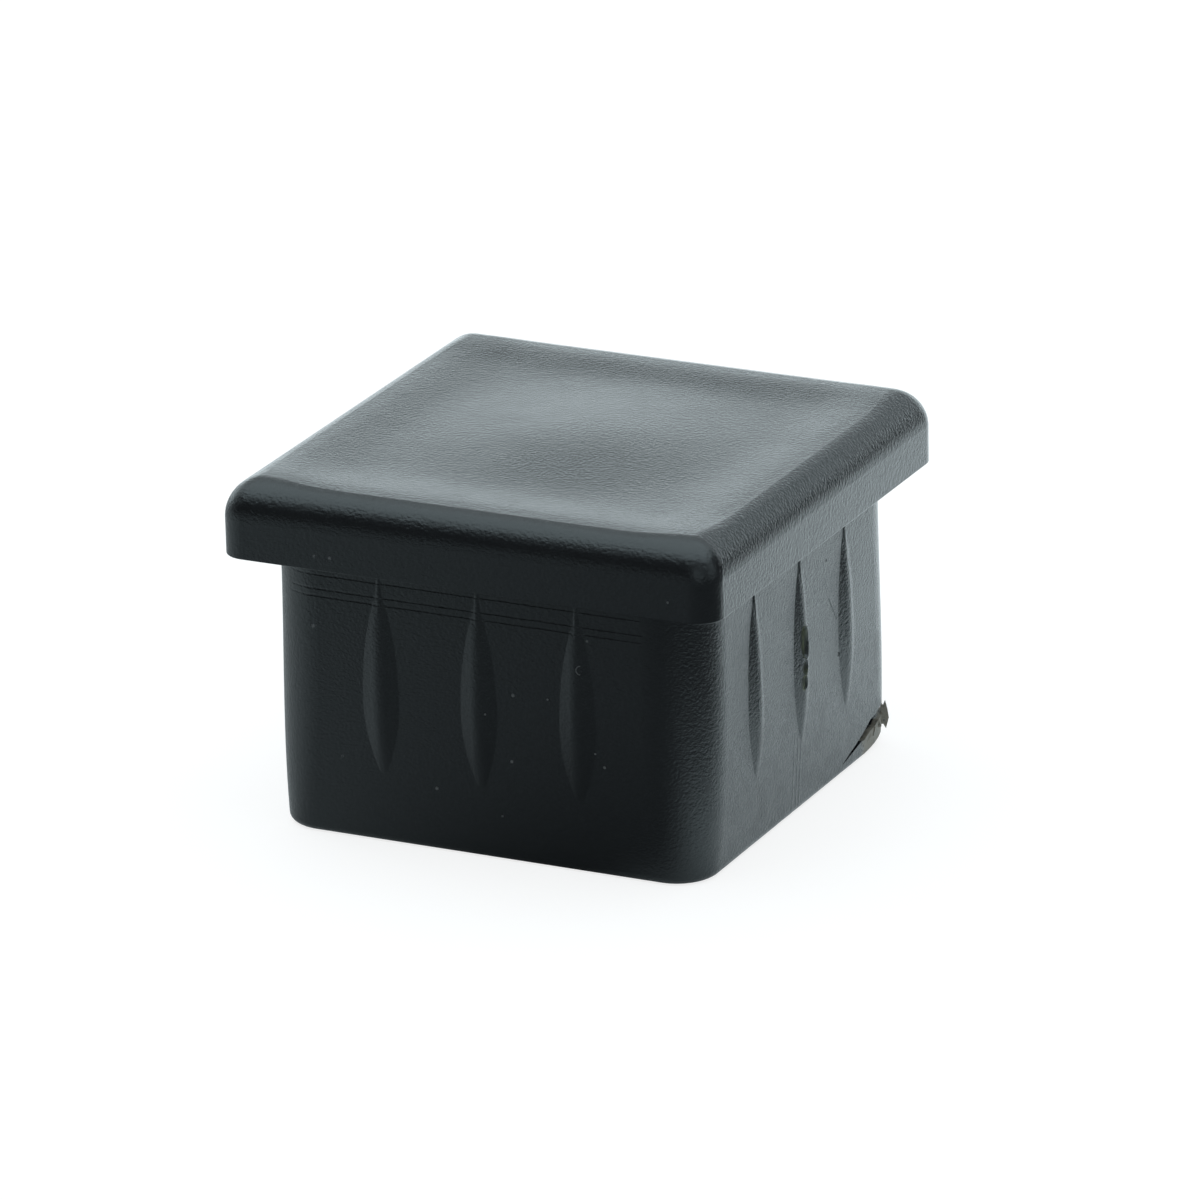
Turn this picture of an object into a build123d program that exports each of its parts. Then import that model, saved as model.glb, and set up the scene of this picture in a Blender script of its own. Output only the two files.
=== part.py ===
"""Square tube end cap: one moulding, a domed head on a hollow ribbed plug that pushes into the tube.

Frame, in millimetres: origin at the centre of the plug's open rim, +Z up through the head, X and Y
square to the plug's faces. The gate scar is on the +X face and the torn rim corner at +X +Y.
"""

from build123d import *
import math
import os

# Head: the plate that covers the end of the tube.
HEAD_WIDTH = 25.0
HEAD_HEIGHT = 3.65
HEAD_CORNER_RADIUS = 1.2
HEAD_EDGE_RADIUS = 1.8
HEAD_LOWER_EDGE_RADIUS = 0.06
HEAD_PLATE = 2.2

# Top of the head: a crest that runs round just inside the edge, highest at its corners, a shallow
# moat inside it, and a low crown in the middle.
CREST_INSET = 1.9
CREST_SPREAD = 1.8
CREST_RISE = 0.19
CREST_CORNER_SHARE = 0.47
CREST_TRIM = 0.012
CREST_EDGE_RADIUS = 1.0
CROWN_RISE = 0.36
CROWN_RADIUS = 9.2
CROWN_FIELD = 19.0
TOP_GRID_POINTS = 41

# Plug: its width at the shoulder, where it is widest, how far its faces stand back from there at the
# neck, the lead-in and the rim, and its corner radii at those heights.
PLUG_DEPTH = 13.55
PLUG_WIDTH = 22.24
SHOULDER_CORNER_RADIUS = 2.75
SHOULDER_FROM_RIM = 5.15
NECK_STEP_BACK = 0.02
NECK_CORNER_RADIUS = 2.9
NECK_HEIGHT = 3.0
LEAD_IN_STEP_BACK = 0.1
LEAD_IN_CORNER_RADIUS = 2.4
LEAD_IN_FROM_RIM = 2.4
RIM_STEP_BACK = 0.27
RIM_CORNER_RADIUS = 2.0
RIM_EDGE_RADIUS = 0.4

# Hollow inside the plug, open at the rim and drafted so that the core pulls out.
RIM_WALL = 1.4
CAVITY_CORNER_RADIUS = 1.0
CAVITY_DRAFT = 0.8
CAVITY_ROOF_RADIUS = 0.7

# Grip ribs: three on each face, pointed at both ends, widest below the middle of the plug, each with a
# thin stem that runs on from its upper point and sinks into the face just below the head.
RIBS_PER_FACE = 3
RIB_PITCH = 5.0
RIB_WIDTH = 1.95
RIB_HEIGHT = 0.28
RIB_CREST_RADIUS = 0.9
RIB_WIDEST_BELOW_HEAD = 6.5
RIB_UPPER_REACH = 4.9
RIB_LOWER_REACH = 3.3
RIB_ROOT = 0.45
RIB_RUN_OUT = 0.7
STEM_RADIUS = 0.25
STEM_HEIGHT = 0.11
STEM_START_BELOW_HEAD = 2.7
STEM_END_BELOW_HEAD = 0.5

# Fine witness grooves across the neck between the ribs: how far each end stops short of the plug's side.
GROOVE_START_INSET = 1.2
GROOVE_END_INSET = 2.8
GROOVE_DROPS = (0.75, 1.45, 1.8)
GROOVE_WIDTH = 0.1
GROOVE_DEPTH = 0.045

# Scar where the gate broke off the middle rib of the +X face. Pockets with sloping sides are listed as
# (y, z below the widest point of the rib, depth below the crest, half width, half height, lean), and
# the ridges on their floors as (y, z below the widest point, depth, thickness, length, lean).
SCAR_POCKETS = (
    (-0.08, -1.40, 0.22, 0.32, 0.72, 4),
    (-0.12, -0.15, 0.14, 0.13, 0.30, -8),
    (-0.22, 0.55, 0.12, 0.18, 0.32, 12),
)
SCAR_RIDGES = (
    (-0.22, -1.45, 0.22, 0.10, 0.90, 6),
    (-0.05, -1.30, 0.22, 0.13, 1.10, -4),
    (0.13, -1.50, 0.22, 0.09, 0.80, 3),
    (-0.24, 0.55, 0.12, 0.08, 0.44, 15),
)
SCAR_SIDE_SLOPE = 32.0

# Torn rim corner: a cleft that climbs the +X face and turns the corner, as (distance in from the plug's
# +Y side, lower z, upper z), the ragged edge left where the rim's corner broke away, as (distance in, z),
# chips on the lip between them, as (distance in, z, height above the face, width, height, turns), and
# the burr at its end, as (distance proud of the corner, z) on the given bearing from +X.
CLEFT_OUTLINE = (
    (5.95, 0.56, 0.60),
    (5.25, 0.70, 0.84),
    (4.55, 0.84, 1.06),
    (3.95, 0.98, 1.28),
    (3.55, 0.94, 1.46),
    (2.95, 1.18, 1.78),
    (2.45, 1.22, 1.84),
    (1.95, 1.42, 2.02),
    (-0.75, 1.66, 2.10),
)
CLEFT_DEPTH = 0.45
CLEFT_REACH = 1.65
LIP_CHIPS = (
    (3.70, 0.82, 0.05, 0.30, 0.22, (14, 6, 10)),
    (3.05, 0.90, 0.08, 0.42, 0.26, (28, -8, -9)),
    (2.40, 1.02, 0.10, 0.30, 0.42, (-12, 9, 14)),
    (1.85, 1.18, 0.12, 0.28, 0.40, (18, -10, 22)),
)
LIP_BLOCK_DEPTH = 0.5
LOST_RIM_EDGE = ((3.7, 0.0), (2.95, 0.22), (2.35, 0.34), (1.65, 0.56), (0.95, 0.6), (-0.75, 0.88))
BURR_OUTLINE = (
    (-0.60, 0.72),
    (-0.60, 1.28),
    (-0.02, 1.46),
    (0.06, 1.90),
    (0.15, 1.76),
    (0.25, 2.02),
    (0.35, 1.62),
    (0.41, 1.22),
    (0.27, 0.68),
    (0.14, 0.92),
)
BURR_THICKNESS = 0.3
BURR_BEARING = 26.0

FACES = 4
TOOL_OVERLAP = 0.5

crest_place = HEAD_WIDTH / 2 - CREST_INSET
head_top = PLUG_DEPTH + HEAD_HEIGHT
cavity_depth = head_top - HEAD_PLATE
rib_centre_z = PLUG_DEPTH - RIB_WIDEST_BELOW_HEAD
crest_reach = PLUG_WIDTH / 2 + RIB_HEIGHT
neck_width = PLUG_WIDTH - 2 * NECK_STEP_BACK
lead_in_width = PLUG_WIDTH - 2 * LEAD_IN_STEP_BACK
rim_width = PLUG_WIDTH - 2 * RIM_STEP_BACK
rim_face = rim_width / 2


def rounded_square(width, radius, z):
    return Pos(0, 0, z) * RectangleRounded(width, width, radius)


def crest_relief(distance):
    return CREST_RISE * math.exp(-(((abs(distance) - crest_place) / CREST_SPREAD) ** 2))


def top_relief(x, y):
    """Height of the head's top at x, y above the floor of its moat."""
    along_x = crest_relief(x)
    along_y = crest_relief(y)
    crest = along_x + along_y - CREST_CORNER_SHARE * along_x * along_y / CREST_RISE
    bearing = math.pi * min(math.hypot(x, y) / CROWN_RADIUS, 1)
    return crest + CROWN_RISE * (1 + math.cos(bearing)) / 2


def above_top():
    """Everything above the head's top surface, to be cut away."""
    reach = HEAD_WIDTH / 2 + TOOL_OVERLAP
    floor = head_top - CREST_TRIM - top_relief(crest_place, crest_place)
    places = [reach * (2 * i / (TOP_GRID_POINTS - 1) - 1) for i in range(TOP_GRID_POINTS)]
    grid = [[Vector(x, y, floor + top_relief(x, y)) for y in places] for x in places]
    surface = Face.make_surface_from_array_of_points(grid, tol=0.001, min_deg=3, max_deg=5)
    return extrude(surface, amount=HEAD_HEIGHT, dir=(0, 0, 1))


def make_head():
    base = (Align.CENTER, Align.CENTER, Align.MIN)
    slab = Box(HEAD_WIDTH, HEAD_WIDTH, HEAD_HEIGHT, align=base)
    slab = fillet(slab.edges().filter_by(Axis.Z), HEAD_CORNER_RADIUS)
    slab = fillet(slab.faces().sort_by(Axis.Z)[-1].outer_wire().edges(), HEAD_EDGE_RADIUS)
    slab = fillet(slab.faces().sort_by(Axis.Z)[0].outer_wire().edges(), HEAD_LOWER_EDGE_RADIUS)
    slab += Box(CROWN_FIELD, CROWN_FIELD, HEAD_HEIGHT + 2 * CROWN_RISE, align=base)
    head = Pos(0, 0, PLUG_DEPTH) * slab - above_top()
    crest_edges = head.faces().sort_by(Axis.Z)[-1].outer_wire().edges()
    return fillet(crest_edges, CREST_EDGE_RADIUS)


def plug_form(inset):
    """The plug's outer form, moved in by inset all round; it runs a little way up into the head."""
    levels = (
        (rim_width, RIM_CORNER_RADIUS, 0),
        (lead_in_width, LEAD_IN_CORNER_RADIUS, LEAD_IN_FROM_RIM),
        (PLUG_WIDTH, SHOULDER_CORNER_RADIUS, SHOULDER_FROM_RIM),
        (neck_width, NECK_CORNER_RADIUS, PLUG_DEPTH - NECK_HEIGHT),
        (neck_width, NECK_CORNER_RADIUS, PLUG_DEPTH + TOOL_OVERLAP),
    )
    return loft([rounded_square(width - 2 * inset, radius - inset, z) for width, radius, z in levels])


def make_plug_body():
    body = plug_form(0)
    rim_edges = body.faces().sort_by(Axis.Z)[0].outer_wire().edges()
    return fillet(rim_edges, RIM_EDGE_RADIUS)


def make_grooves():
    """Grooves across the -Y face and the opposite one."""
    length = neck_width - GROOVE_START_INSET - GROOVE_END_INSET
    middle = (GROOVE_START_INSET - GROOVE_END_INSET) / 2
    grooves = []
    for turn in (0, 180):
        for drop in GROOVE_DROPS:
            groove = Box(length, 2 * GROOVE_DEPTH, GROOVE_WIDTH)
            groove = Pos(middle, -neck_width / 2, PLUG_DEPTH - drop) * groove
            grooves.append(Rot(0, 0, turn) * groove)
    return grooves


def rib_half(centre_x, reach, turn):
    """One end of a rib on the -Y face: its section swept along an arc that sinks into the face."""
    slope = sharp_rib_height() / (RIB_WIDTH / 2)
    root_half_width = RIB_WIDTH / 2 + RIB_ROOT / slope
    face_y = -PLUG_WIDTH / 2
    section = Polygon(
        (centre_x, face_y - sharp_rib_height()),
        (centre_x - root_half_width, face_y + RIB_ROOT),
        (centre_x + root_half_width, face_y + RIB_ROOT),
        align=None,
    )
    apex = section.vertices().sort_by(Axis.Y)[0]
    section = Pos(0, 0, rib_centre_z) * fillet(apex, RIB_CREST_RADIUS)
    arc_radius = (reach**2 + RIB_HEIGHT**2) / (2 * RIB_HEIGHT)
    axis = Axis((0, arc_radius - crest_reach, rib_centre_z), (turn, 0, 0))
    arc_angle = math.degrees((reach + RIB_RUN_OUT) / arc_radius)
    return revolve(section, axis, arc_angle)


def rib_stem(centre_x):
    """A thin round bar that leans back into the -Y face, so that only its lower part stands proud."""
    axis_depth = STEM_RADIUS - neck_width / 2
    start = Vector(centre_x, axis_depth - STEM_HEIGHT, PLUG_DEPTH - STEM_START_BELOW_HEAD)
    end = Vector(centre_x, axis_depth, PLUG_DEPTH - STEM_END_BELOW_HEAD)
    profile = Plane(start, x_dir=(1, 0, 0), z_dir=end - start) * Circle(STEM_RADIUS)
    return extrude(profile, STEM_START_BELOW_HEAD)


def sharp_rib_height():
    """Height to which the flanks would meet if the crest weren't rounded."""
    height = RIB_HEIGHT
    for _ in range(20):
        flank = math.atan2(height, RIB_WIDTH / 2)
        height = RIB_HEIGHT + RIB_CREST_RADIUS * (1 / math.cos(flank) - 1)
    return height


def make_ribs():
    ribs = []
    for face in range(FACES):
        for place in range(RIBS_PER_FACE):
            centre_x = (place - (RIBS_PER_FACE - 1) / 2) * RIB_PITCH
            rib = rib_half(centre_x, RIB_UPPER_REACH, -1) + rib_half(centre_x, RIB_LOWER_REACH, 1)
            rib += rib_stem(centre_x)
            ribs.append(Rot(0, 0, face * 360 / FACES) * rib)
    return ribs


def make_cavity():
    mouth_width = rim_width - 2 * RIM_WALL
    mouth = rounded_square(mouth_width, CAVITY_CORNER_RADIUS, 0)
    cavity = extrude(mouth, amount=cavity_depth, taper=CAVITY_DRAFT)
    roof_edges = cavity.faces().sort_by(Axis.Z)[-1].outer_wire().edges()
    return fillet(roof_edges, CAVITY_ROOF_RADIUS)


def make_scar_pockets():
    pockets = []
    for y, drop, depth, half_width, half_height, lean in SCAR_POCKETS:
        floor = Plane.YZ * Ellipse(half_width, half_height)
        pocket = extrude(floor, amount=2 * RIB_HEIGHT, taper=-SCAR_SIDE_SLOPE)
        pockets.append(Pos(crest_reach - depth, y, rib_centre_z - drop) * Rot(lean, 0, 0) * pocket)
    return pockets


def make_scar_ridges():
    """Slivers of the gate that stand on the floors of its scar, each a bar laid with one edge out."""
    ridges = []
    for y, drop, depth, thickness, length, lean in SCAR_RIDGES:
        bar = Rot(lean, 0, 0) * Rot(0, 0, 45) * Box(thickness, thickness, length)
        ridges.append(Pos(crest_reach - depth, y, rib_centre_z - drop) * bar)
    return ridges


def make_cleft():
    lower = [(rim_face - inset, low) for inset, low, high in CLEFT_OUTLINE]
    upper = [(rim_face - inset, high) for inset, low, high in reversed(CLEFT_OUTLINE)]
    outline = Plane.YZ * Polygon(*lower, *upper, align=None)
    return Pos(rim_face - CLEFT_REACH, 0, 0) * extrude(outline, HEAD_WIDTH) - plug_form(CLEFT_DEPTH)


def make_lost_rim():
    """What broke away below the ragged edge of the lip."""
    edge = [(rim_face - inset, z) for inset, z in LOST_RIM_EDGE]
    below = ((edge[-1][0], -TOOL_OVERLAP), (edge[0][0], -TOOL_OVERLAP))
    outline = Plane.YZ * Polygon(*edge, *below, align=None)
    return Pos(rim_face - CLEFT_REACH, 0, 0) * extrude(outline, HEAD_WIDTH, dir=(1, 0, 0))


def make_lip_chips():
    chips = []
    for inset, z, proud, width, height, turns in LIP_CHIPS:
        x = rim_face + proud - LIP_BLOCK_DEPTH / 2
        chips.append(Pos(x, rim_face - inset, z) * Rot(*turns) * Box(LIP_BLOCK_DEPTH, width, height))
    return chips


def make_burr():
    bearing = math.radians(BURR_BEARING)
    outward = Vector(math.cos(bearing), math.sin(bearing), 0)
    arc_centre = rim_face - RIM_CORNER_RADIUS
    corner = Vector(arc_centre, arc_centre, 0) + outward * RIM_CORNER_RADIUS
    across = Plane(corner, x_dir=outward, z_dir=Vector(outward.Y, -outward.X, 0))
    return extrude(across * Polygon(*BURR_OUTLINE, align=None), BURR_THICKNESS / 2, both=True)


def make_end_cap():
    cap = make_plug_body() - make_grooves()
    cap += make_ribs()
    cap += make_head()
    cap -= make_cavity()
    cap -= make_scar_pockets()
    cap += make_scar_ridges()
    cap -= make_cleft()
    cap -= make_lost_rim()
    cap += make_lip_chips()
    return cap + make_burr()


end_cap = make_end_cap()
os.makedirs("parts", exist_ok=True)
export_step(end_cap, "parts/end_cap.step")
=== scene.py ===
"""Looks, light and camera for the square tube end cap.

Lengths are in metres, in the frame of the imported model. Places and sizes on the cap are in millimetres.
"""

import functools
import math

import bpy
from mathutils import Matrix, Vector

MM = 0.001

# Camera, fitted to the outline of the cap. Angles are in degrees.
CAMERA_AZIMUTH = 26.065
CAMERA_ELEVATION = 20.135
CAMERA_ROLL = -1.3623
CAMERA_DISTANCE = 0.4596
CAMERA_TARGET = (0.0, 0.0, 0.00855)
CAMERA_LENS = 296.57
CAMERA_SENSOR = 36.0
CAMERA_SHIFT = (0.01355, 0.00602)

# Softboxes, as (name, azimuth from +X towards +Y, elevation, (width, height), radiance), all at one
# distance from the origin, and the slightly cool colour of the light.
SOFTBOX_DISTANCE = 0.8
SOFTBOXES = (
    ("back_softbox", 90 + CAMERA_AZIMUTH, 11, (2.2, 0.32), 1.55),
    ("back_upper_softbox", 90 + CAMERA_AZIMUTH, 36, (2.2, 0.44), 0.66),
    ("top_softbox", 90 + CAMERA_AZIMUTH, 87, (1.6, 1.05), 1.5),
    ("right_fill", 0, 22, (0.65, 0.5), 0.45),
    ("front_fill", CAMERA_AZIMUTH - 90, 22, (0.65, 0.5), 0.45),
    ("left_fill", 180, 22, (0.65, 0.5), 0.45),
)
LIGHT_COLOUR = (0.89, 1.0, 1.04, 1.0)

# Studio: the weak fill from all round, the floor's half width and colour, and what the camera sees of
# the floor as shade and as white.
ROOM_FILL = 0.05
FLOOR_REACH = 1.5
FLOOR_COLOUR = 0.75
FLOOR_SHADE = 0.3
FLOOR_WHITE = 0.8

# The floor as gloss sees it, with painted light and shade. Its painted lit part lies to the right and
# behind, past two edges given as ((x share, y share), (from, to)), and glows brighter with distance from
# the first. The rest is painted dim in front and brighter towards the left: its level at -Y, its growth
# with each radian towards -X, and its limits. Last come the painted shades of the paper in the dim part
# and in the lit part.
FLOOR_EDGES = (((0.7, 0.7), (-0.006, 0.005)), ((-0.96, 0.28), (-0.034, -0.019)))
FLOOR_RISE = (0.0, 0.045)
FLOOR_PAINTED_LIT_LEVELS = (0.52, 1.0)
FLOOR_PAINTED_DIM = 0.08
FLOOR_GROWTH = 2.0
FLOOR_PAINTED_DIM_LIMITS = (0.02, 0.45)
FLOOR_PAINTED_SHADES = (0.1, 0.75)

# Places on the cap: where the plug meets the head, the height over which their looks blend, and the
# planes of the plug's faces and of the rim's.
HEAD_UNDERSIDE = 13.55
HEAD_BLEND = 0.05
PLUG_FACE = 11.1
RIM_FACE = 10.85

# How deep the looks of a face reach in from the plane of the plug's faces, whole down to the first depth
# and gone at the second: the marks on the front, the dust on the front, and all that is on the side.
FRONT_DEPTHS = (0.3, 0.6)
DUST_DEPTHS = (0.1, 0.3)
SIDE_DEPTHS = (0.4, 0.6)

# Plastic. Mottling varies the roughness, and wear adds to it low on the +X face, below the given heights
# and where its noise is within the given levels.
PLASTIC_COLOUR = (0.0085, 0.0092, 0.0105, 1.0)
PLASTIC_IOR = 1.6
PLASTIC_TINT = (0.9, 1.0, 1.02, 1.0)
PLUG_ROUGHNESS = 0.24
HEAD_ROUGHNESS = 0.20
MOTTLE_RANGE = 0.10
WEAR_ROUGHNESS = 0.07
WEAR_TOP = (5.5, 7.5)
WEAR_LEVELS = (0.42, 0.62)
BLEMISH_ROUGHNESS = 0.55

# Relief: the height of the head's grain in metres, and as shares of it the plug's grain, the tool marks
# and the pits under the dark specks.
GRAIN_HEIGHT = 0.03 * MM
PLUG_GRAIN = 1.3
TOOL_MARK_RELIEF = 0.45
SPECK_RELIEF = -1.5

# Noises, as (scale, detail, roughness), and the middle of their range.
GRAIN_NOISE = (7.0, 3.0, 0.6)
MOTTLE_NOISE = (0.55, 3.0, 0.55)
WEAR_NOISE = (1.3, 4.0, 0.65)
TEAR_NOISE = (5.0, 3.0, 0.6)
LIP_NOISE = (2.5, 2.0, 0.5)
THREAD_NOISE = (1.0, 3.0, 0.6)
WAVER_NOISE = (0.6, 2.0, 0.5)
NOISE_MIDDLE = 0.5

# Specks of pale dust on the -Y side, as (x, z, radius), how much they cover and how pale they are.
FRONT_DUST = (
    (-8.4, 10.25, 0.09),
    (5.55, 11.45, 0.06),
    (1.75, 8.3, 0.08),
    (3.5, 8.35, 0.05),
    (0.4, 7.25, 0.05),
    (5.85, 6.05, 0.05),
    (6.3, 5.45, 0.07),
    (1.6, 5.05, 0.08),
    (-2.3, 3.15, 0.08),
    (1.0, 2.25, 0.05),
    (-7.1, 4.05, 0.05),
    (-7.5, 14.25, 0.06),
    (-6.7, 14.25, 0.07),
    (-3.0, 13.15, 0.05),
    (10.3, 14.45, 0.05),
)
DUST_COVER = 0.6
DUST_LEVEL = 0.14

# A pale curved nick on the right rib of the -Y face: centre x and z, radius, half width, and how far to
# each side of its centre its open side starts.
NICK = (5.25, 10.05, 0.2, 0.045)
NICK_OPENING = 0.05

# Dark specks on the +X face, as (y, z, radius). A fine scratch across it, from (y, z) to (y, z), its half
# width and strength, and the lengths over which it sets in and runs out.
SIDE_SPECKS = ((4.05, 6.4, 0.09), (2.9, 11.4, 0.06))
SIDE_SCRATCH = ((3.0, 9.55), (4.0, 8.05))
SCRATCH_HALF_WIDTH = 0.05
SCRATCH_STRENGTH = 0.5
SCRATCH_SET_IN = 0.2
SCRATCH_RUN_OUT = 0.3

# Faint tool marks: level ones across the -Y face, at heights z, each from and to a stretch of x, and
# upright ones on the +X face, at places y, below a stretch of z. All waver by the same amount.
FRONT_MARKS = (12.8, 12.1, 11.75)
FRONT_MARK_HALF_WIDTH = 0.09
FRONT_MARK_START = (-10.2, -9.4)
FRONT_MARK_END = (6.0, 9.0)
SIDE_MARKS = (-0.85, -0.45, -0.1)
SIDE_MARK_HALF_WIDTH = 0.12
SIDE_MARK_TOP = (3.2, 4.4)
MARK_WAVER = 0.12

# The gate scar as ellipses on the +X face, as (y, z, half width, half height), the softness of their
# edges, and their dark colour. Upright threads darken and lighten it: the stretch of their noise along
# x, y and z, the levels of the noise where they show, and the shares of the colour between and on them.
SCAR = ((-0.08, 8.45, 0.36, 0.82), (-0.14, 7.15, 0.22, 0.40), (-0.22, 6.5, 0.24, 0.40))
SCAR_SOFTNESS = 0.15
SCAR_COLOUR = (0.030, 0.034, 0.016)
THREAD_STRETCH = (1, 9, 1.4)
THREAD_LEVELS = (0.45, 0.65)
THREAD_SHARES = (0.5, 2.6)

# The torn lip, whitened by the tear. It starts at a place y and lies below a line with a start height, a
# slope, a waver and a soft edge. It sets in over a length of y, and only the outermost skin is whitened.
LIP_FROM_Y = 6.4
LIP_START = 0.80
LIP_SLOPE = 0.30
LIP_WAVER = 0.3
LIP_EDGE = 0.15
LIP_SET_IN = 1.2
LIP_SKIN = (-0.22, -0.12)
LIP_COLOUR = (0.24, 0.215, 0.175, 1.0)
TEAR_LEVELS = (0.15, 0.5)

# The burr at the lip's end: its bearing from +X in degrees, how far the rim's corner reaches on that
# bearing, how far past it the whitening grows, and the heights over which it ends.
BURR_BEARING = 26.0
RIM_CORNER_REACH = 13.83
BURR_GROWTH = 0.06
BURR_TOP = (2.2, 2.3)


class Nodes:
    """Short calls for building one node tree."""

    def __init__(self, tree):
        self.tree = tree
        tree.nodes.clear()

    def add(self, kind, inputs=(), **settings):
        node = self.tree.nodes.new(kind)
        for name, value in settings.items():
            setattr(node, name, value)
        for name, value in dict(inputs).items():
            self.feed(node.inputs[name], value)
        return node

    def feed(self, socket, value):
        if isinstance(value, bpy.types.NodeSocket):
            self.tree.links.new(value, socket)
        else:
            socket.default_value = value

    def math(self, operation, *values):
        node = self.add("ShaderNodeMath", operation=operation)
        for socket, value in zip(node.inputs, values):
            self.feed(socket, value)
        return node.outputs[0]

    def times(self, *values):
        return functools.reduce(lambda a, b: self.math("MULTIPLY", a, b), values)

    def largest(self, *values):
        return functools.reduce(lambda a, b: self.math("MAXIMUM", a, b), values)

    def along(self, a, b, direction):
        """How far (a, b) lies in a direction, given as its share of each."""
        return self.math("ADD", self.times(a, direction[0]), self.times(b, direction[1]))

    def distance(self, a, b):
        return self.math("SQRT", self.math("ADD", self.times(a, a), self.times(b, b)))

    def step(self, value, low, high, start=0.0, end=1.0):
        """Smooth change from start to end as value goes from low to high."""
        node = self.add("ShaderNodeMapRange", interpolation_type="SMOOTHSTEP", clamp=True)
        for socket, fed in zip(node.inputs, (value, low, high, start, end)):
            self.feed(socket, fed)
        return node.outputs[0]

    def fade(self, value, low, high):
        """Smooth change from 1 to 0 as value goes from low to high."""
        return self.step(value, low, high, 1.0, 0.0)

    def line(self, value, centre, half_width):
        """1 on the line where value is centre, falling to 0 over half_width on both sides."""
        off = self.math("ABSOLUTE", self.math("SUBTRACT", value, centre))
        return self.fade(off, 0, half_width)

    def stretch(self, vector, shares):
        node = self.add("ShaderNodeVectorMath", {0: vector, 1: shares}, operation="MULTIPLY")
        return node.outputs[0]

    def noise(self, vector, scale, detail, roughness):
        inputs = {"Vector": vector, "Scale": scale, "Detail": detail, "Roughness": roughness}
        return self.add("ShaderNodeTexNoise", inputs).outputs["Fac"]

    def mix(self, factor, a, b):
        node = self.add("ShaderNodeMix", data_type="RGBA")
        self.feed(node.inputs["Factor"], factor)
        self.feed(node.inputs["A"], a)
        self.feed(node.inputs["B"], b)
        return node.outputs["Result"]


def grey(level):
    return (level, level, level, 1.0)


def node_material(name):
    """A new material, and the nodes of its tree."""
    material = bpy.data.materials.new(name)
    material.use_nodes = True
    return material, Nodes(material.node_tree)


def make_camera():
    azimuth = math.radians(CAMERA_AZIMUTH)
    elevation = math.radians(CAMERA_ELEVATION)
    roll = math.radians(CAMERA_ROLL)
    level = math.cos(elevation)
    back = Vector((math.sin(azimuth) * level, -math.cos(azimuth) * level, math.sin(elevation)))
    right = Vector((math.cos(azimuth), math.sin(azimuth), 0))
    up = back.cross(right)
    across = right * math.cos(roll) + up * math.sin(roll)
    upward = up * math.cos(roll) - right * math.sin(roll)
    camera = bpy.data.objects.new("camera", bpy.data.cameras.new("camera"))
    bpy.context.scene.collection.objects.link(camera)
    place = Matrix((across, upward, back)).transposed().to_4x4()
    place.translation = Vector(CAMERA_TARGET) + back * CAMERA_DISTANCE
    camera.matrix_world = place
    camera.data.lens = CAMERA_LENS
    camera.data.sensor_width = CAMERA_SENSOR
    camera.data.shift_x, camera.data.shift_y = CAMERA_SHIFT
    bpy.context.scene.camera = camera


def disc(n, a, b, centre_a, centre_b, radius, height=None, soft=0.3):
    """1 inside an ellipse on one face and 0 outside it, with a soft edge."""
    over_a = n.math("DIVIDE", n.math("SUBTRACT", a, centre_a), radius)
    over_b = n.math("DIVIDE", n.math("SUBTRACT", b, centre_b), height or radius)
    return n.fade(n.distance(over_a, over_b), 1 - soft, 1 + soft)


def dust_mask(n, x, y, z):
    """Pale specks and the curved nick on the -Y side."""
    specks = n.largest(*(disc(n, x, z, *speck) for speck in FRONT_DUST))
    nick_x, nick_z, radius, half_width = NICK
    over_x, over_z = n.math("SUBTRACT", x, nick_x), n.math("SUBTRACT", z, nick_z)
    ring = n.line(n.distance(over_x, over_z), radius, half_width)
    nick = n.times(ring, n.fade(over_x, -NICK_OPENING, NICK_OPENING))
    return n.times(n.largest(specks, nick), n.fade(y, *(depth - PLUG_FACE for depth in DUST_DEPTHS)))


def side_speck_mask(n, y, z, on_side):
    """Dark specks and the scratch on the +X face."""
    specks = n.largest(*(disc(n, y, z, *speck) for speck in SIDE_SPECKS))
    (y0, z0), (y1, z1) = SIDE_SCRATCH
    length = math.hypot(y1 - y0, z1 - z0)
    along_y, along_z = (y1 - y0) / length, (z1 - z0) / length
    over_y, over_z = n.math("SUBTRACT", y, y0), n.math("SUBTRACT", z, z0)
    along = n.along(over_y, over_z, (along_y, along_z))
    across = n.along(over_y, over_z, (along_z, -along_y))
    within = n.times(n.step(along, 0, SCRATCH_SET_IN), n.fade(along, length - SCRATCH_RUN_OUT, length))
    scratch = n.times(n.line(across, 0, SCRATCH_HALF_WIDTH), within, SCRATCH_STRENGTH)
    return n.times(n.largest(specks, scratch), on_side)


def scar_mask(n, y, z, on_side):
    ellipses = (disc(n, y, z, *ellipse, soft=SCAR_SOFTNESS) for ellipse in SCAR)
    return n.times(n.largest(*ellipses), on_side)


def scar_colour(n, scaled):
    """Dark, with pale upright threads."""
    threads = n.noise(n.stretch(scaled, THREAD_STRETCH), *THREAD_NOISE)
    colour = n.add("ShaderNodeVectorMath", {0: SCAR_COLOUR}, operation="SCALE")
    n.feed(colour.inputs["Scale"], n.step(threads, *THREAD_LEVELS, *THREAD_SHARES))
    return colour.outputs[0]


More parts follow.
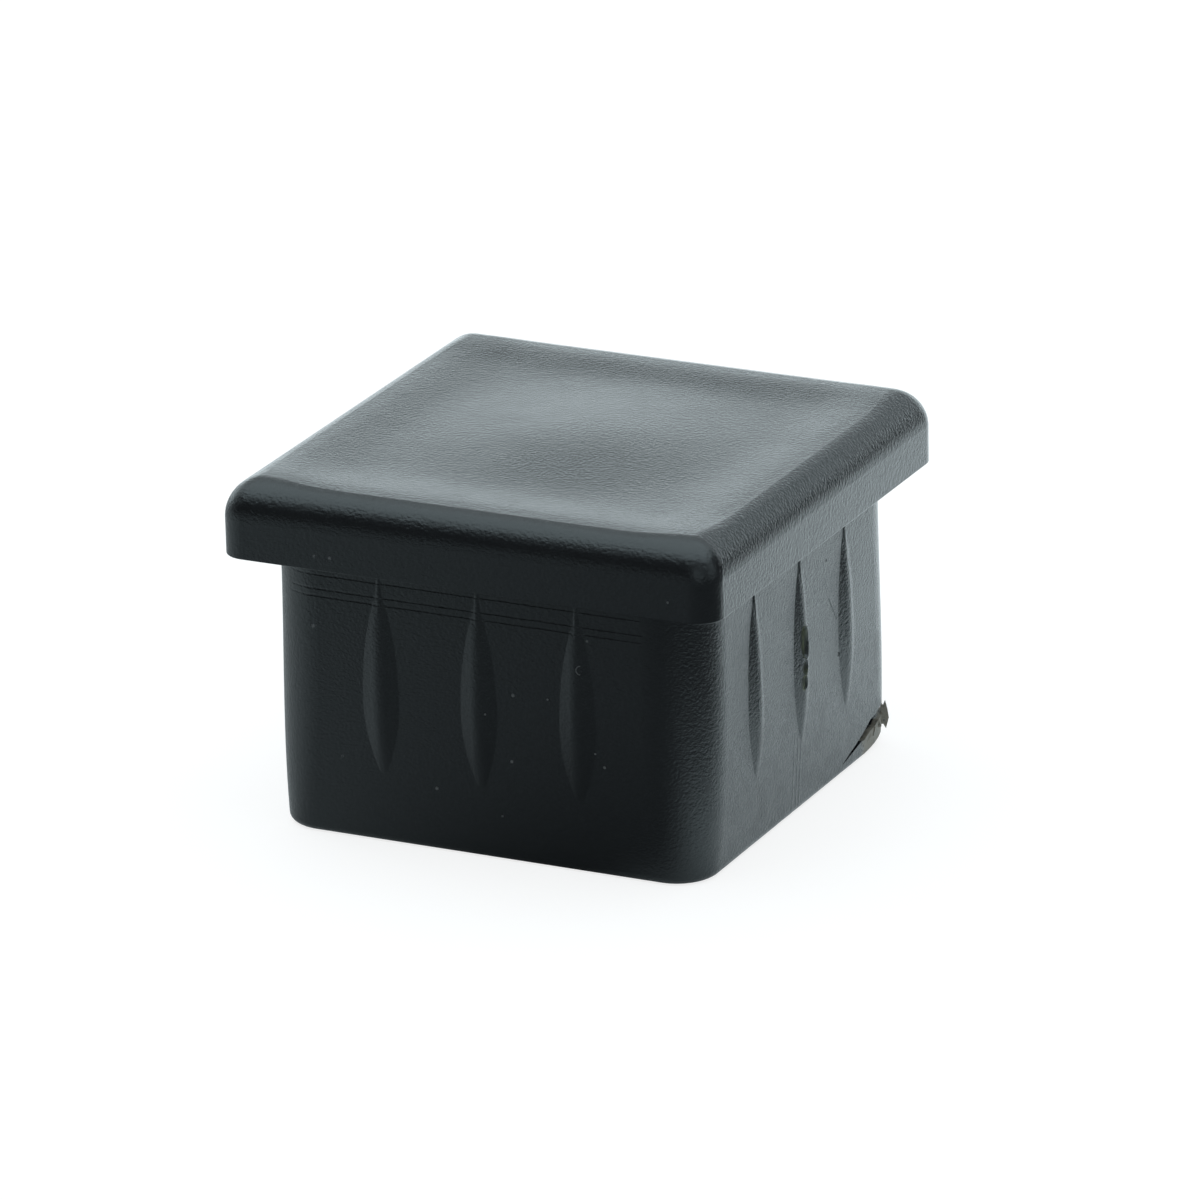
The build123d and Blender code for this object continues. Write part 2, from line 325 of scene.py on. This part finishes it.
def torn_mask(n, scaled, x, y, z):
    """The skin of the torn lip, and the burr at its end."""
    line = n.math("MULTIPLY_ADD", n.math("SUBTRACT", y, LIP_FROM_Y), LIP_SLOPE, LIP_START)
    line = n.math("MULTIPLY_ADD", n.noise(scaled, *LIP_NOISE), LIP_WAVER, line)
    below = n.step(n.math("SUBTRACT", line, z), 0, LIP_EDGE)
    bearing = math.radians(BURR_BEARING)
    reach = n.along(x, y, (math.cos(bearing), math.sin(bearing)))
    past_corner = n.math("SUBTRACT", reach, RIM_CORNER_REACH)
    outermost = n.largest(n.math("SUBTRACT", x, RIM_FACE), past_corner)
    lip = n.times(below, n.step(y, LIP_FROM_Y, LIP_FROM_Y + LIP_SET_IN), n.step(outermost, *LIP_SKIN))
    burr = n.times(n.step(past_corner, 0, BURR_GROWTH), n.fade(z, *BURR_TOP))
    return n.step(n.times(n.largest(lip, burr), n.noise(scaled, *TEAR_NOISE)), *TEAR_LEVELS)


def tool_marks(n, scaled, x, y, z, on_front, on_side):
    """Height of the faint marks that the mould left on the plug."""
    waver = n.times(n.math("SUBTRACT", n.noise(scaled, *WAVER_NOISE), NOISE_MIDDLE), MARK_WAVER)
    wavy_y, wavy_z = n.math("ADD", y, waver), n.math("ADD", z, waver)
    across = n.largest(*(n.line(wavy_z, mark, FRONT_MARK_HALF_WIDTH) for mark in FRONT_MARKS))
    across = n.times(across, n.step(x, *FRONT_MARK_START), n.fade(x, *FRONT_MARK_END), on_front)
    upright = n.largest(*(n.line(wavy_y, mark, SIDE_MARK_HALF_WIDTH) for mark in SIDE_MARKS))
    upright = n.times(upright, n.fade(z, *SIDE_MARK_TOP), on_side)
    return n.math("SUBTRACT", upright, across)


def plastic_material():
    """Black moulded plastic, with the cap's blemishes."""
    material, n = node_material("cap_plastic")
    place = n.add("ShaderNodeTexCoord").outputs["Object"]
    scaled = n.stretch(place, (1 / MM,) * 3)
    x, y, z = n.add("ShaderNodeSeparateXYZ", {0: scaled}).outputs
    head = n.step(z, HEAD_UNDERSIDE - HEAD_BLEND, HEAD_UNDERSIDE + HEAD_BLEND)
    plug = n.math("SUBTRACT", 1.0, head)
    on_front = n.times(n.fade(y, *(depth - PLUG_FACE for depth in FRONT_DEPTHS)), plug)
    on_side = n.times(n.step(x, *(PLUG_FACE - depth for depth in reversed(SIDE_DEPTHS))), plug)
    torn = torn_mask(n, scaled, x, y, z)
    scar = scar_mask(n, y, z, on_side)
    dust = dust_mask(n, x, y, z)
    specks = side_speck_mask(n, y, z, on_side)

    colour = n.mix(scar, PLASTIC_COLOUR, scar_colour(n, scaled))
    colour = n.mix(torn, colour, LIP_COLOUR)
    colour = n.mix(n.times(dust, DUST_COVER), colour, grey(DUST_LEVEL))

    mottle = n.math("SUBTRACT", n.noise(scaled, *MOTTLE_NOISE), NOISE_MIDDLE)
    wear = n.times(on_side, n.fade(z, *WEAR_TOP), n.step(n.noise(scaled, *WEAR_NOISE), *WEAR_LEVELS))
    roughness = n.step(head, 0, 1, PLUG_ROUGHNESS, HEAD_ROUGHNESS)
    roughness = n.math("MULTIPLY_ADD", mottle, MOTTLE_RANGE, roughness)
    roughness = n.math("MULTIPLY_ADD", wear, WEAR_ROUGHNESS, roughness)
    roughness = n.largest(roughness, n.times(n.largest(torn, scar, dust, specks), BLEMISH_ROUGHNESS))

    marks = tool_marks(n, scaled, x, y, z, on_front, on_side)
    height = n.times(n.noise(scaled, *GRAIN_NOISE), n.step(head, 0, 1, PLUG_GRAIN, 1))
    height = n.math("MULTIPLY_ADD", marks, TOOL_MARK_RELIEF, height)
    height = n.math("MULTIPLY_ADD", specks, SPECK_RELIEF, height)
    bump = n.add("ShaderNodeBump", {"Strength": 1.0, "Distance": GRAIN_HEIGHT, "Height": height})

    shader = n.add("ShaderNodeBsdfPrincipled")
    n.feed(shader.inputs["Base Color"], colour)
    n.feed(shader.inputs["IOR"], PLASTIC_IOR)
    n.feed(shader.inputs["Specular Tint"], PLASTIC_TINT)
    n.feed(shader.inputs["Roughness"], roughness)
    n.feed(shader.inputs["Normal"], bump.outputs["Normal"])
    n.add("ShaderNodeOutputMaterial", {"Surface": shader.outputs[0]})
    return material


def make_world():
    """White where the camera looks past the floor, and a weak even fill for everything else."""
    world = bpy.data.worlds.new("studio")
    world.use_nodes = True
    n = Nodes(world.node_tree)
    path = n.add("ShaderNodeLightPath").outputs
    seen = n.largest(path["Is Camera Ray"], path["Is Transmission Ray"])
    fill = n.add("ShaderNodeBackground", {"Color": grey(ROOM_FILL), "Strength": 1.0})
    white = n.add("ShaderNodeBackground", {"Color": grey(1.0), "Strength": 1.0})
    mixed = n.add("ShaderNodeMixShader", {0: seen, 1: fill.outputs[0], 2: white.outputs[0]})
    n.add("ShaderNodeOutputWorld", {"Surface": mixed.outputs[0]})
    bpy.context.scene.world = world


def floor_material():
    """Pale paper that keeps the cap's shadow: white to the camera, and with painted light and shade as
    gloss sees it.
    """
    material, n = node_material("floor")
    path = n.add("ShaderNodeLightPath").outputs
    glossy = path["Is Glossy Ray"]
    seen = n.largest(path["Is Camera Ray"], path["Is Transmission Ray"])

    place = n.add("ShaderNodeTexCoord").outputs["Object"]
    x, y, _ = n.add("ShaderNodeSeparateXYZ", {0: place}).outputs
    # Painted light: as gloss sees it, the floor glows bright to the right and behind, and dim in front.
    past = [n.along(x, y, direction) for direction, _ in FLOOR_EDGES]
    painted_lit_part = n.times(*(n.step(value, *span) for value, (_, span) in zip(past, FLOOR_EDGES)))
    painted_lit_level = n.times(painted_lit_part, n.step(past[0], *FLOOR_RISE, *FLOOR_PAINTED_LIT_LEVELS))
    turned = n.math("ARCTAN2", n.times(x, -1), n.times(y, -1))
    painted_dim_level = n.times(n.math("EXPONENT", n.times(turned, FLOOR_GROWTH)), FLOOR_PAINTED_DIM)
    dimmest, brightest = FLOOR_PAINTED_DIM_LIMITS
    painted_dim_level = n.math("MINIMUM", n.largest(painted_dim_level, dimmest), brightest)
    strength = n.largest(n.times(seen, FLOOR_WHITE), n.times(glossy, n.largest(painted_lit_level, painted_dim_level)))

    colour = n.mix(seen, grey(FLOOR_COLOUR), grey(FLOOR_SHADE))
    # Painted shade: as gloss sees it, the paper is darker in the dim part than in the lit part.
    colour = n.mix(glossy, colour, n.mix(painted_lit_part, *(grey(shade) for shade in FLOOR_PAINTED_SHADES)))
    paper = n.add("ShaderNodeBsdfDiffuse", {"Color": colour})
    glow_colour = n.mix(seen, LIGHT_COLOUR, grey(1.0))
    glow = n.add("ShaderNodeEmission", {"Color": glow_colour, "Strength": strength})
    both = n.add("ShaderNodeAddShader", {0: paper.outputs[0], 1: glow.outputs[0]})
    n.add("ShaderNodeOutputMaterial", {"Surface": both.outputs[0]})
    return material


def make_floor():
    mesh = bpy.data.meshes.new("floor")
    signs = ((-1, -1), (1, -1), (1, 1), (-1, 1))
    mesh.from_pydata([(x * FLOOR_REACH, y * FLOOR_REACH, 0) for x, y in signs], [], [(0, 1, 2, 3)])
    mesh.materials.append(floor_material())
    floor = bpy.data.objects.new("floor", mesh)
    bpy.context.scene.collection.objects.link(floor)


def make_softbox(name, azimuth, elevation, size, radiance):
    """A rectangular lamp that faces the cap."""
    lamp = bpy.data.lights.new(name, "AREA")
    lamp.shape = "RECTANGLE"
    lamp.size, lamp.size_y = size
    lamp.color = LIGHT_COLOUR[:3]
    lamp.energy = radiance * math.pi * size[0] * size[1]
    turned, raised = math.radians(azimuth), math.radians(elevation)
    level = math.cos(raised)
    away = Vector((math.cos(turned) * level, math.sin(turned) * level, math.sin(raised)))
    box = bpy.data.objects.new(name, lamp)
    bpy.context.scene.collection.objects.link(box)
    facing = away.to_track_quat("Z", "Y").to_matrix().to_4x4()
    box.matrix_world = Matrix.Translation(away * SOFTBOX_DISTANCE) @ facing
    box.visible_camera = False


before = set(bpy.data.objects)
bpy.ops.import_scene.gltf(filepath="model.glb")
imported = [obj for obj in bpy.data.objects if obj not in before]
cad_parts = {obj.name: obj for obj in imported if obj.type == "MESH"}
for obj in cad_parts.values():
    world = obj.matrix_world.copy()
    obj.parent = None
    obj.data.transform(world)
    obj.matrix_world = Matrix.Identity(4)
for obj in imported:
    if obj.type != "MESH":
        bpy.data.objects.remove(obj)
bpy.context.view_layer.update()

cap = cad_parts["end_cap"]
material = plastic_material()
cap.data.materials.clear()
cap.data.materials.append(material)

bpy.context.scene.view_settings.view_transform = "Standard"
make_camera()
make_world()
make_floor()
for softbox in SOFTBOXES:
    make_softbox(*softbox)
